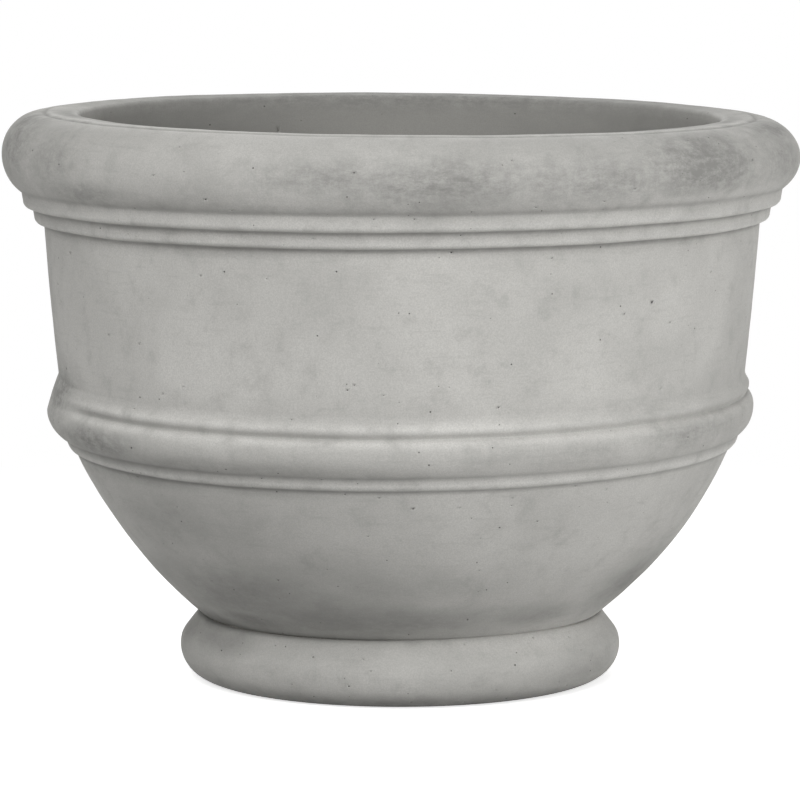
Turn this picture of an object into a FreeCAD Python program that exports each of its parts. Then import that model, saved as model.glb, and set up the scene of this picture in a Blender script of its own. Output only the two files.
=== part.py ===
import FreeCAD, Part
import math
import os

# A cast stone flower pot: a round bowl with a rolled rim and a moulded band, bedded on a foot
# that is cast apart from it. Steel hoops and ribs lie in the stone, dowels pin the bowl to the
# foot, and a sleeve with a strainer and a lift-out plug drains the floor.
# Millimetres, +Z up, with the origin on the ground at the middle of the foot.

# Foot: a ring whose side is one round bulge from the ground to the joint.
foot_height = 62.5
foot_base_radius = 180.0
foot_bulge_radius = 212.0
foot_bulge_height = 35.0
foot_top_radius = 194.5
foot_seat_width = 69.5
foot_bore_chamfer = 6.0

# Mortar bed between foot and bowl, kept back from the edge of the joint.
bed_thickness = 1.5
bed_setback = 4.0
bed_bore_margin = 6.0

# Rolled rim and the two steps under it.
rim_diameter = 762.0
rim_overhang = 17.4
rim_roll_radius = 38.6
rim_step_depth = 10.7
rim_step_height = 15.5
rim_step_count = 2

# Lip: the trowelled top inside the roll, parted from it by a shallow groove.
lip_rise = 1.5
lip_fall = 1.5
lip_groove_width = 7.0
lip_groove_depth = 1.0
lip_edge_radius = 2.0
lip_width = 36.0
lip_inner_radius = 12.0

# Upper wall.
wall_height = 148.5
wall_taper = 13.0
wall_thickness = 51.0

# Moulded band: a bead, a broad round of two arcs, and a narrow fillet below.
bead_height = 16.0
bead_widest_height = 6.5
bead_standout = 6.0
bead_edge_radius = 3.0
bead_crease_standout = 2.0
band_standout = 10.2
band_upper_height = 14.0
band_lower_height = 24.0
band_lower_inset = 14.9
band_fillet_height = 13.0
band_fillet_standout = 6.0
band_fillet_rise = 3.0
band_fillet_edge_radius = 3.0

# Lower bowl.
bowl_seat_setback = 2.0
bowl_round_height = 161.5
bowl_round_radius = 422.0
bowl_setback = 14.1
inner_round_radius = 300.0
inner_break_rise = 4.5
floor_thickness = 48.0
floor_inset = 9.0
floor_fall = 3.0

# Steel cast into the stone.
rib_count = 8
rib_bar_radius = 3.0
rib_bend_radius = 60.0
rib_base_rise = 24.0
rib_base_cover = 26.0
rib_band_cover = 30.0
hoop_bar_radius = 4.0
hoop_room_sides = 6
tie_gap = 1.5
cast_gap = 0.2
foot_hoop_height = 20.0

# Dowels between foot and bowl.
dowel_count = 3
dowel_radius = 6.0
dowel_edge_distance = 34.5
dowel_depth_in_foot = 30.0
dowel_depth_in_bowl = 26.0
dowel_clearance = 0.3

# Drain through the floor.
sleeve_bore_radius = 21.0
sleeve_wall = 3.0
sleeve_flange_width = 10.0
sleeve_flange_thickness = 4.0
sleeve_ledge_width = 3.0
sleeve_ledge_height = 3.0
strainer_thickness = 3.0
strainer_hole_radius = 2.5
strainer_hole_circle = 12.0
strainer_hole_count = 8
plug_length = 26.0
plug_taper = 1.5
plug_head_radius = 28.0
plug_head_thickness = 6.0
plug_head_edge_radius = 2.0
plug_neck_radius = 6.0
plug_neck_height = 8.0
plug_knob_radius = 11.0
plug_knob_thickness = 9.0
fit_clearance = 0.3

# Heights that follow from the sizes above, from the ground up.
bowl_base_z = foot_height + bed_thickness
floor_edge_z = bowl_base_z + floor_thickness
floor_drain_z = floor_edge_z - floor_fall
bowl_top_z = bowl_base_z + bowl_round_height
band_bottom_z = bowl_top_z + band_fillet_height
band_z = band_bottom_z + band_lower_height
band_top_z = band_z + band_upper_height
wall_foot_z = band_top_z + bead_height
wall_top_z = wall_foot_z + wall_height
steps_top_z = wall_top_z + rim_step_count * rim_step_height

# Radii that follow from the rim inwards.
rim_radius = rim_diameter / 2
steps_radius = rim_radius - rim_overhang
wall_top_radius = steps_radius - rim_step_count * rim_step_depth
wall_foot_radius = wall_top_radius - wall_taper
bowl_top_radius = wall_foot_radius - bowl_setback
roll_radius = rim_radius - rim_roll_radius
lip_outer_radius = roll_radius - lip_groove_width
mouth_radius = roll_radius - lip_width
inner_foot_radius = wall_foot_radius - wall_thickness
band_radius = wall_foot_radius + band_standout
bead_crease_radius = wall_foot_radius + bead_crease_standout


def height_on_round(round_radius, offset):
    """How far along its axis a round of that radius reaches at a distance from its centre."""
    return math.sqrt(round_radius**2 - offset**2)


roll_z = steps_top_z + height_on_round(rim_roll_radius, steps_radius - roll_radius)
lip_z = roll_z + rim_roll_radius + lip_rise
foot_bore_radius = foot_top_radius - foot_seat_width
dowel_circle_radius = foot_top_radius - dowel_edge_distance
bowl_seat_radius = foot_top_radius - bowl_seat_setback
floor_radius = bowl_seat_radius - floor_inset
sleeve_radius = sleeve_bore_radius + sleeve_wall
flange_radius = sleeve_radius + sleeve_flange_width

up = FreeCAD.Vector(0, 0, 1)
origin = FreeCAD.Vector(0, 0, 0)


def section_point(at):
    """A point of a half section, given as (radius, height), in the X-Z plane."""
    return FreeCAD.Vector(at[0], 0, at[1])


def arc_middle(start, end, radius):
    """Middle of the arc from start to end. A positive radius bulges to the right of the way it runs."""
    run_r, run_z = end[0] - start[0], end[1] - start[1]
    chord = math.hypot(run_r, run_z)
    bulge = abs(radius) - height_on_round(abs(radius), chord / 2)
    side = math.copysign(bulge / chord, radius)
    return (start[0] + end[0]) / 2 + run_z * side, (start[1] + end[1]) / 2 - run_r * side


class Outline:
    """A half section drawn point by point as (radius, height), then turned about the pot's axis."""

    def __init__(self, r, z):
        self.start = (r, z)
        self.at = (r, z)
        self.edges = []

    def line(self, r, z):
        self.edges.append(Part.LineSegment(section_point(self.at), section_point((r, z))).toShape())
        self.at = (r, z)

    def arc_through(self, middle, end):
        points = [section_point(at) for at in (self.at, middle, end)]
        self.edges.append(Part.Arc(*points).toShape())
        self.at = end

    def arc(self, r, z, radius):
        self.arc_through(arc_middle(self.at, (r, z), radius), (r, z))

    def corner(self, r, z, radius, after):
        """A line to a corner that is rounded on its way to the point after it."""
        way_in = FreeCAD.Vector(r - self.at[0], z - self.at[1], 0).normalize()
        way_out = FreeCAD.Vector(after[0] - r, after[1] - z, 0).normalize()
        tangent = radius * math.tan(way_in.getAngle(way_out) / 2)
        left_turn = way_in.cross(way_out).z > 0
        self.line(r - way_in.x * tangent, z - way_in.y * tangent)
        end = (r + way_out.x * tangent, z + way_out.y * tangent)
        self.arc(*end, radius if left_turn else -radius)

    def turned(self):
        self.line(*self.start)
        return Part.Face(Part.Wire(self.edges)).revolve(origin, up, 360)


def bowl_radius_at(z):
    """Outer radius of the lower bowl at a height."""
    start, end = (bowl_seat_radius, bowl_base_z), (bowl_top_radius, bowl_top_z)
    middle = arc_middle(start, end, bowl_round_radius)
    arc = Part.Arc(section_point(start), section_point(middle), section_point(end)).toShape()
    centre = arc.Curve.Center
    return centre.x + height_on_round(bowl_round_radius, z - centre.z)


# Centre line of a rib: up the side of the bowl, one bend behind the band, up the wall into the rim.
rib_base_z = bowl_base_z + rib_base_rise
rib_base = (bowl_radius_at(rib_base_z) - rib_base_cover, rib_base_z)
rib_bend = (wall_foot_radius - rib_band_cover, bowl_top_z)
rib_top = (roll_radius - hoop_bar_radius - rib_bar_radius - tie_gap, roll_z)


def draw_rim(outline):
    """The steps under the rim, the roll, and the lip with its groove."""
    for step in range(rim_step_count):
        radius = wall_top_radius + (step + 1) * rim_step_depth
        z = wall_top_z + step * rim_step_height
        outline.arc(radius, z + rim_step_depth, rim_step_depth)
        outline.line(radius, z + rim_step_height)
    outline.arc(roll_radius, roll_z + rim_roll_radius, rim_roll_radius)
    groove = (roll_radius - lip_groove_width / 2, roll_z + rim_roll_radius - lip_groove_depth)
    outline.line(*groove)
    inner_edge = (mouth_radius, lip_z - lip_fall)
    outline.corner(lip_outer_radius, lip_z, lip_edge_radius, inner_edge)
    outline.corner(*inner_edge, lip_inner_radius, (inner_foot_radius, bowl_top_z + inner_break_rise))


def swept_radius(inset, height):
    """Radius of an arc that starts upright and draws in by an inset over a height."""
    return (inset**2 + height**2) / (2 * inset)


def draw_band(outline):
    """The fillet, the broad round and the bead, from the bowl up to the foot of the wall."""
    fillet_edge = (bowl_top_radius + band_fillet_standout, bowl_top_z + band_fillet_rise)
    band_bottom = (band_radius - band_lower_inset, band_bottom_z)
    outline.corner(*fillet_edge, band_fillet_edge_radius, band_bottom)
    outline.line(*band_bottom)
    outline.arc(band_radius, band_z, swept_radius(band_lower_inset, band_lower_height))
    upper_inset = band_radius - bead_crease_radius
    outline.arc(bead_crease_radius, band_top_z, swept_radius(upper_inset, band_upper_height))
    bead_edge = (wall_foot_radius + bead_standout, band_top_z + bead_widest_height)
    wall_foot = (wall_foot_radius, wall_foot_z)
    outline.corner(*bead_edge, bead_edge_radius, wall_foot)
    outline.line(*wall_foot)


def bar_ring(radius, z):
    """A hoop: a closed round bar about the pot's axis."""
    return Part.makeTorus(radius, hoop_bar_radius, FreeCAD.Vector(0, 0, z), up)


def ring_room(radius, z):
    """The flat-sided room that the stone leaves for a hoop."""
    turn = 2 * math.pi / hoop_room_sides
    reach = (hoop_bar_radius + cast_gap) / math.cos(turn / 2)
    corners = [
        (radius + reach * math.cos(side * turn), z + reach * math.sin(side * turn))
        for side in range(hoop_room_sides)
    ]
    outline = Outline(*corners[0])
    for corner in corners[1:]:
        outline.line(*corner)
    return outline.turned()


def rib_bar(number, bar_radius, end_slack):
    """One rib, with its ends lengthened by end_slack."""
    base, bend, top = section_point(rib_base), section_point(rib_bend), section_point(rib_top)
    lower_way = (bend - base).normalize()
    upper_way = (top - bend).normalize()
    turn = lower_way.getAngle(upper_way)
    tangent = rib_bend_radius * math.tan(turn / 2)
    base = base - lower_way * end_slack
    top = top + upper_way * end_slack
    bend_start, bend_end = bend - lower_way * tangent, bend + upper_way * tangent
    middle = arc_middle((bend_start.x, bend_start.z), (bend_end.x, bend_end.z), rib_bend_radius)
    path = Part.Wire([
        Part.LineSegment(base, bend_start).toShape(),
        Part.Arc(bend_start, section_point(middle), bend_end).toShape(),
        Part.LineSegment(bend_end, top).toShape(),
    ])
    section = Part.Wire(Part.Circle(base, lower_way, bar_radius).toShape())
    bar = path.makePipeShell([section], True, False)
    bar.rotate(origin, up, (number + 0.5) * 360 / rib_count)
    return bar


def hoop_places():
    """Centre (radius, height) of each hoop in the bowl, tied to the side of the ribs with the most cover."""
    reach = hoop_bar_radius + rib_bar_radius + tie_gap

    def beside(run_start, run_end, z, side):
        way = (section_point(run_end) - section_point(run_start)).normalize()
        radius = run_start[0] + (z - run_start[1]) * way.x / way.z
        return radius + side * way.z * reach, z - side * way.x * reach

    outside, inside = 1, -1
    return {
        "rim_hoop": (roll_radius, roll_z),
        "shoulder_hoop": beside(rib_bend, rib_top, wall_top_z, inside),
        "band_hoop": beside(rib_bend, rib_top, band_z, inside),
        "belly_hoop": beside(rib_base, rib_bend, (rib_base_z + bowl_top_z) / 2, outside),
        "floor_hoop": beside(rib_base, rib_bend, rib_base_z + 2 * hoop_bar_radius, outside),
    }


def around(shape, count, number):
    """A copy of a shape turned to one of count even places about the axis."""
    copy = shape.copy()
    copy.rotate(origin, up, 360.0 * number / count)
    return copy


def dowel_pins(radius, end_slack):
    """The dowels that stand in the foot and reach into the bowl."""
    bottom = foot_height - dowel_depth_in_foot - end_slack
    top = bowl_base_z + dowel_depth_in_bowl + end_slack
    pin = Part.makeCylinder(radius, top - bottom, FreeCAD.Vector(dowel_circle_radius, 0, bottom), up)
    return [around(pin, dowel_count, number) for number in range(dowel_count)]


def make_bowl():
    """The bowl casting, with room for the steel, the dowels and the drain sleeve."""
    sleeve_seat = sleeve_radius + cast_gap
    flange_seat = flange_radius + cast_gap
    flange_seat_z = floor_drain_z - sleeve_flange_thickness
    outline = Outline(sleeve_seat, bowl_base_z)
    outline.line(bowl_seat_radius, bowl_base_z)
    outline.arc(bowl_top_radius, bowl_top_z, bowl_round_radius)
    draw_band(outline)
    outline.line(wall_top_radius, wall_top_z)
    draw_rim(outline)
    outline.line(inner_foot_radius, bowl_top_z + inner_break_rise)
    outline.arc(floor_radius, floor_edge_z, -inner_round_radius)
    outline.line(flange_seat, floor_drain_z)
    outline.line(flange_seat, flange_seat_z)
    outline.line(sleeve_seat, flange_seat_z)
    rooms = [ring_room(*place) for place in hoop_places().values()]
    rooms += [rib_bar(number, rib_bar_radius + cast_gap, cast_gap) for number in range(rib_count)]
    rooms += dowel_pins(dowel_radius + dowel_clearance, dowel_clearance)
    return outline.turned().cut(rooms)


def foot_hoop_place():
    """Centre (radius, height) of the hoop in the middle of the foot's ring."""
    return (foot_bore_radius + foot_base_radius) / 2, foot_hoop_height


def make_pedestal_foot():
    """The foot casting, with room for its hoop and the dowels."""
    outline = Outline(foot_bore_radius + foot_bore_chamfer, 0)
    outline.line(foot_base_radius, 0)
    outline.arc_through((foot_bulge_radius, foot_bulge_height), (foot_top_radius, foot_height))
    outline.line(foot_bore_radius, foot_height)
    outline.line(foot_bore_radius, foot_bore_chamfer)
    rooms = [ring_room(*foot_hoop_place())]
    rooms += dowel_pins(dowel_radius + dowel_clearance, dowel_clearance)
    return outline.turned().cut(rooms)


def make_setting_bed():
    """The thin ring of mortar that the bowl is set in, with holes for the dowels."""
    bed = Part.makeCylinder(foot_top_radius - bed_setback, bed_thickness, FreeCAD.Vector(0, 0, foot_height), up)
    bore_radius = foot_bore_radius + bed_bore_margin
    bore = Part.makeCylinder(bore_radius, bed_thickness, FreeCAD.Vector(0, 0, foot_height), up)
    return bed.cut([bore] + dowel_pins(dowel_radius + dowel_clearance, dowel_clearance))


def make_drain_sleeve():
    """The tube through the floor, with a flange let into the floor and a ledge for the strainer."""
    ledge_radius = sleeve_bore_radius - sleeve_ledge_width
    outline = Outline(ledge_radius, bowl_base_z)
    outline.line(sleeve_radius, bowl_base_z)
    outline.line(sleeve_radius, floor_drain_z - sleeve_flange_thickness)
    outline.line(flange_radius, floor_drain_z - sleeve_flange_thickness)
    outline.line(flange_radius, floor_drain_z)
    outline.line(sleeve_bore_radius, floor_drain_z)
    outline.line(sleeve_bore_radius, bowl_base_z + sleeve_ledge_height)
    outline.line(ledge_radius, bowl_base_z + sleeve_ledge_height)
    return outline.turned()


def make_drain_strainer():
    """The pierced disc that lies on the sleeve's ledge and keeps the soil in."""
    seat = FreeCAD.Vector(0, 0, bowl_base_z + sleeve_ledge_height)
    disc = Part.makeCylinder(sleeve_bore_radius - fit_clearance, strainer_thickness, seat, up)
    middle = Part.makeCylinder(strainer_hole_radius, strainer_thickness, seat, up)
    beside = Part.makeCylinder(
        strainer_hole_radius, strainer_thickness, seat + FreeCAD.Vector(strainer_hole_circle, 0, 0), up
    )
    holes = [around(beside, strainer_hole_count, number) for number in range(strainer_hole_count)]
    return disc.cut([middle] + holes)


def make_drain_plug():
    """The rubber plug: a tapered body in the sleeve, a head on its flange, and a knob to pull."""
    body_radius = sleeve_bore_radius - fit_clearance
    head_top_z = floor_drain_z + plug_head_thickness
    knob_z = head_top_z + plug_neck_height
    knob_top = (0, knob_z + plug_knob_thickness)
    head_corner = (plug_head_radius, head_top_z)
    outline = Outline(0, floor_drain_z - plug_length)
    outline.line(body_radius - plug_taper, floor_drain_z - plug_length)
    outline.line(body_radius, floor_drain_z)
    outline.line(plug_head_radius, floor_drain_z)
    outline.corner(*head_corner, plug_head_edge_radius, (plug_neck_radius, head_top_z))
    outline.line(plug_neck_radius, head_top_z)
    outline.line(plug_neck_radius, knob_z)
    outline.line(plug_knob_radius, knob_z)
    outline.corner(plug_knob_radius, knob_top[1], plug_knob_thickness / 2, knob_top)
    outline.line(*knob_top)
    return outline.turned()


def make_parts():
    """Every piece of the pot, by name."""
    parts = {
        "bowl": make_bowl(),
        "pedestal_foot": make_pedestal_foot(),
        "setting_bed": make_setting_bed(),
        "locating_dowels": Part.makeCompound(dowel_pins(dowel_radius, 0)),
        "foot_hoop": bar_ring(*foot_hoop_place()),
        "drain_sleeve": make_drain_sleeve(),
        "drain_strainer": make_drain_strainer(),
        "drain_plug": make_drain_plug(),
    }
    for name, place in hoop_places().items():
        parts[name] = bar_ring(*place)
    for number in range(rib_count):
        parts[f"wall_rib_{number + 1}"] = rib_bar(number, rib_bar_radius, 0)
    return parts


def main():
    os.makedirs("parts", exist_ok=True)
    for name, shape in make_parts().items():
        shape.exportStep(f"parts/{name}.step")
        print(f"{name}: {len(shape.Solids)} solid, {shape.Volume / 1000:.1f} cm3, valid {shape.isValid()}")
    print(f"rim {rim_diameter:.0f} mm across, lip {lip_z:.1f} mm above the ground")


main()
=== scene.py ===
import math
import random
from typing import NamedTuple

import bmesh
import bpy
from bpy.props import FloatProperty, FloatVectorProperty, IntProperty, PointerProperty
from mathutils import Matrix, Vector, noise


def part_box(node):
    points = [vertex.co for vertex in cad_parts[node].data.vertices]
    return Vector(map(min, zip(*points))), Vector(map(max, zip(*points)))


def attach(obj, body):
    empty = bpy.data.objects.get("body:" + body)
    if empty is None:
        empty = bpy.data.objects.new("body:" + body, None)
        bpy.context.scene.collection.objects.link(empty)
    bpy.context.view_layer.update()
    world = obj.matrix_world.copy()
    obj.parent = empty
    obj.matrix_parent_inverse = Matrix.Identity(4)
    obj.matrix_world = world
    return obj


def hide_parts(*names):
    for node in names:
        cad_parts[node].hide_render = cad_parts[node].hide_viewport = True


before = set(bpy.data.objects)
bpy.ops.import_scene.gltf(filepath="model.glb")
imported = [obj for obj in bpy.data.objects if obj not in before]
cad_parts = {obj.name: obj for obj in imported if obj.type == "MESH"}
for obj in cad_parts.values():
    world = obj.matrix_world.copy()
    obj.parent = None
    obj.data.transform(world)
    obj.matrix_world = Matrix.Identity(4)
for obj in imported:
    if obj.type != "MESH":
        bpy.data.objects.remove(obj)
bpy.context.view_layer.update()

bl_info = {
    "name": "Cast Stone Flower Pot",
    "version": (1, 0, 0),
    "blender": (4, 5, 0),
    "location": "View3D > Sidebar > Flower Pot",
    "description": "Models and finishes a cast stone flower pot around its fixed frame",
    "category": "Object",
}

# Metres, +Z up. The photograph looks along +Y, so a turn of 0 degrees on the pot faces it.
MM = 0.001
BOWL_LOW, BOWL_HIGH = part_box("bowl")
FOOT_LOW, FOOT_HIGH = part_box("pedestal_foot")
BED_LOW, BED_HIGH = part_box("setting_bed")
SLEEVE_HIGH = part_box("drain_sleeve")[1]

HOOPS = ("rim_hoop", "shoulder_hoop", "band_hoop", "belly_hoop", "floor_hoop", "foot_hoop")
RIBS = tuple(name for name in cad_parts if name.startswith("wall_rib_"))

WHITE = (1.0, 1.0, 1.0, 1.0)

# Seeds of the random draws, and the place on the belly where air holes crowd together.
BOWL_SEED = 11
FOOT_SEED = 23
PITTED_BELLY = Vector((0.04, -0.25, 0.16))
PITTED_CORE = 0.02
PITTED_REACH = 0.12

# Nearly all of a cloudy noise lies between these two values.
CLOUD_LOW = 0.3
CLOUD_HIGH = 0.7


def length(name, description, millimetres):
    """A length that is written in millimetres and kept in metres."""
    return FloatProperty(
        name=name, description=description, default=millimetres * MM, unit="LENGTH", precision=4
    )


def share(name, description, default):
    """A share from none to all."""
    return FloatProperty(
        name=name, description=description, default=default, min=0.0, max=1.0, subtype="FACTOR"
    )


def colour(name, description, *red_green_blue):
    """A colour in linear light."""
    return FloatVectorProperty(
        name=name, description=description, default=red_green_blue, size=3, min=0.0, max=1.0, subtype="COLOR"
    )


def count(name, description, default):
    """A whole number of things."""
    return IntProperty(name=name, description=description, default=default, min=0)


def degrees(name, description, default):
    """An angle that is kept in degrees."""
    return FloatProperty(name=name, description=description, default=default)


def watts(name, description, default):
    """The power of a lamp."""
    return FloatProperty(name=name, description=description, default=default, unit="POWER")


class BowlSizes(bpy.types.PropertyGroup):
    """Sizes of the bowl's section, from the seat up to the lip and down the inside."""

    seat_radius: length("Seat radius", "Outer radius of the underside, where the bowl meets the foot", 192.5)
    round_height: length("Round height", "Height of the round lower side", 161.5)
    round_radius: length("Round radius", "Radius of the lower side's arc", 422.0)
    setback: length("Setback", "How far the round side ends inside the foot of the wall", 14.1)
    fillet_height: length("Fillet height", "Height of the narrow fillet under the band", 13.0)
    fillet_standout: length("Fillet standout", "How far the fillet stands out from the round side", 6.0)
    fillet_rise: length("Fillet rise", "How far the fillet's underside slopes up", 3.0)
    fillet_edge: length("Fillet edge", "Radius of the fillet's lower edge", 3.0)
    band_standout: length("Band standout", "How far the band stands out from the wall", 10.2)
    band_lower_height: length("Band lower height", "Height of the band below its fullest line", 24.0)
    band_lower_inset: length("Band lower inset", "How far the band draws in below its fullest line", 14.9)
    band_upper_height: length("Band upper height", "Height of the band above its fullest line", 14.0)
    bead_height: length("Bead height", "Height of the bead at the foot of the wall", 16.0)
    bead_widest: length("Bead widest", "Height of the bead's edge above the crease under it", 6.5)
    bead_standout: length("Bead standout", "How far the bead stands out from the wall", 6.0)
    bead_edge: length("Bead edge", "Radius of the bead's edge", 3.0)
    bead_crease_standout: length("Bead crease standout", "How far out the crease under the bead lies", 2.0)
    wall_height: length("Wall height", "Height of the wall from the bead to the steps", 148.5)
    wall_taper: length("Wall taper", "How far the wall leans out on its way up", 13.0)
    wall_swell: length("Wall swell", "How far the wall bulges past a straight line", 0.8)
    wall_thickness: length("Wall thickness", "Thickness of the wall at its foot", 51.0)
    step_depth: length("Step depth", "How far each step under the rim stands out", 10.7)
    step_height: length("Step height", "Height of each step under the rim", 15.5)
    step_edge: length("Step edge", "Radius of each step's lower edge", 6.0)
    step_slant: length("Step slant", "How far each step's face leans out on its way up", 2.2)
    step_rise: length("Step rise", "How far each step's underside slopes up", 2.0)
    step_count: count("Steps", "Number of steps under the rim", 2)
    rim_overhang: length("Rim overhang", "How far the roll stands out past the steps", 17.4)
    roll_radius: length("Roll radius", "Radius of the rolled rim", 38.6)
    lip_rise: length("Lip rise", "How far the trowelled lip stands above the roll", 1.5)
    lip_fall: length("Lip fall", "How far the lip falls towards the mouth", 1.5)
    lip_width: length("Lip width", "Width from the crest of the roll to the mouth", 36.0)
    lip_edge: length("Lip edge", "Radius of the lip's outer edge", 2.0)
    lip_inner_edge: length("Lip inner edge", "Radius of the lip's edge at the mouth", 12.0)
    lip_groove_width: length("Lip groove width", "Width of the groove between roll and lip", 7.0)
    lip_groove_depth: length("Lip groove depth", "Depth of that groove below the crest of the roll", 0.5)
    inner_break_rise: length("Inner break rise", "Height of the inside's bend above the round side", 4.5)
    inner_radius: length("Inner radius", "Radius of the arc from the inner wall to the floor", 300.0)
    floor_thickness: length("Floor thickness", "Thickness of the floor at its edge", 48.0)
    floor_inset: length("Floor inset", "How far the floor's edge lies inside the seat", 9.0)
    drain_gap: length("Drain gap", "Room between the stone and the drain sleeve", 0.2)
    sleeve_flange: length("Sleeve flange", "Thickness of the drain sleeve's flange", 4.0)
    sleeve_flange_width: length("Sleeve flange width", "How far the flange stands out from the sleeve", 10.0)


class FootSizes(bpy.types.PropertyGroup):
    """Sizes of the foot's section and of the mortar on it."""

    base_radius: length("Base radius", "Outer radius of the face on the ground", 180.0)
    bulge_height: length("Bulge height", "Height of the widest line above the ground", 35.0)
    slope_height: length("Slope height", "Height at which the straight upper slope meets the bulge", 43.0)
    slope_inset: length("Slope inset", "How far inside the widest line that happens", 2.2)
    top_radius: length("Top radius", "Outer radius of the seat", 194.5)
    bore_radius: length("Bore radius", "Radius of the hollow through the foot", 125.0)
    bore_chamfer: length("Bore chamfer", "Chamfer at the hollow's lower edge", 6.0)
    smear_height: length("Smear height", "How high mortar was smeared up the joint at the right", 3.2)
    smear_turn: degrees("Smear turn", "Middle of that smear, in degrees", 28.0)
    smear_spread: degrees("Smear spread", "Reach of that smear, in degrees", 38.0)
    mortar_spread: length("Mortar spread", "How unevenly the mortar squeezes out", 1.6)


class CastingMarks(bpy.types.PropertyGroup):
    """What the mould, the hand and the weather leave on the stone."""

    girth_steps: count("Girth steps", "Edges around the pot", 320)
    profile_edge: length("Profile edge", "Longest edge on the outside of a section", 4.2)
    hidden_edge: length("Hidden edge", "Longest edge on the inside and underside", 14.0)
    worn_edge: length("Worn edge", "Radius that wear leaves on small edges and creases", 1.3)
    waves: length("Waves", "Height of the broad waves in the surface", 0.55)
    wave_spacing: length("Wave spacing", "Spacing of the broad waves", 85.0)
    ripples: length("Ripples", "Height of the small unevenness in the surface", 0.2)
    ripple_spacing: length("Ripple spacing", "Spacing of the small unevenness", 24.0)
    outer_pits: count("Outer pits", "Air holes on the outside of the bowl", 320)
    inner_pits: count("Inner pits", "Air holes inside the bowl", 20)
    foot_pits: count("Foot pits", "Air holes in the foot", 70)
    smallest_pit: length("Smallest pit", "Radius of the smallest modelled air hole", 0.3)
    largest_pit: length("Largest pit", "Radius of the largest modelled air hole", 0.8)


class FinishColours(bpy.types.PropertyGroup):
    """Colours of the stone and of the fittings."""

    stone_pale: colour("Stone, pale", "Pale clouds in the stone", 0.600, 0.591, 0.564)
    stone_deep: colour("Stone, deep", "Deep clouds in the stone", 0.495, 0.488, 0.465)
    # Also the paler colour of the painted light on upward faces and on the pot's lit right side.
    stone_worn_and_lit: colour("Stone, worn", "Rubbed edges of the stone", 0.70, 0.69, 0.66)
    # Also the colour of the smooth painted shade.
    stone_stain_and_shade: colour("Stone, stain", "Weather stains on the stone", 0.245, 0.243, 0.230)
    # Painted shade inside the pot, full from about 22 mm below the lip.
    stone_inside_shade: colour("Stone, inside", "Raw stone inside, darkened by damp soil", 0.39, 0.383, 0.360)
    # Also the colour of the painted shade in creases and in the mortar's holes.
    stone_dirt_and_shade: colour("Stone, dirt", "Dirt in creases and air holes", 0.105, 0.103, 0.096)
    stone_hole: colour("Stone, holes", "Shade in the air holes", 0.035, 0.034, 0.032)
    mortar: colour("Mortar", "Sandy setting mortar", 0.30, 0.29, 0.265)
    mortar_sand: colour("Mortar sand", "Pale sand grains in the mortar", 0.46, 0.44, 0.40)
    zinc_pale: colour("Zinc, pale", "Pale crystals of the bars' zinc coat", 0.60, 0.61, 0.62)
    zinc_deep: colour("Zinc, deep", "Dull crystals of the bars' zinc coat", 0.38, 0.39, 0.40)
    steel_pale: colour("Steel, pale", "Bright drawn lines on the dowels", 0.66, 0.66, 0.65)
    steel_deep: colour("Steel, deep", "Dull drawn lines on the dowels", 0.46, 0.46, 0.45)
    plastic: colour("Plastic", "Grey moulded drain fittings", 0.105, 0.107, 0.112)
    plastic_chalk: colour("Plastic, chalked", "Lime and wear on the drain fittings", 0.30, 0.30, 0.29)
    rubber: colour("Rubber", "Black rubber of the plug", 0.018, 0.018, 0.019)
    rubber_dust: colour("Rubber, dusty", "Dust on the plug", 0.12, 0.118, 0.11)
    floor: colour("Floor", "Pale studio floor", 0.6, 0.6, 0.6)


class StudioSetup(bpy.types.PropertyGroup):
    """The camera and the lamps."""

    camera_distance: length("Camera distance", "From the pot's axis to the camera", 4450.0)
    camera_height: length("Camera height", "Of the camera above the ground", 792.94)
    camera_tilt: FloatProperty(
        name="Camera tilt", description="How far the camera looks down", default=math.radians(6.755),
        subtype="ANGLE",
    )
    camera_lens: FloatProperty(
        name="Camera lens", description="Focal length on a 36 mm sensor", default=209.29, unit="CAMERA"
    )
    front_power: watts("Front lamp", "Broad soft lamp above the camera", 85.0)
    right_power: watts("Right lamp", "Small soft lamp low at the right", 33.0)
    left_power: watts("Left lamp", "Broad soft lamp at the left", 18.0)
    back_power: watts("Back lamp", "Broad soft lamp behind the pot", 50.0)
    sky_light: share("Sky light", "Even light from all around", 0.28)
    floor_glow: share("Floor glow", "Share of the seen floor's white that shadows leave", 0.68)


def smooth_step(low, high, value):
    """0 below low, 1 above high, and an even ease between."""
    part = min(max((value - low) / (high - low), 0.0), 1.0)
    return part * part * (3 - 2 * part)


def round_leg(round_radius, offset):
    """How far an arc of that radius reaches at a distance from its centre."""
    return math.sqrt(round_radius**2 - offset**2)


def swept_radius(inset, height):
    """Radius of an arc that starts upright and draws in by an inset over a height."""
    return (inset**2 + height**2) / (2 * inset)


class Mark(NamedTuple):
    """A line of the section that gathers dirt and painted shade, or takes wear and painted light, and how
    far that reaches.
    """

    at: Vector
    reach: float


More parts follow.
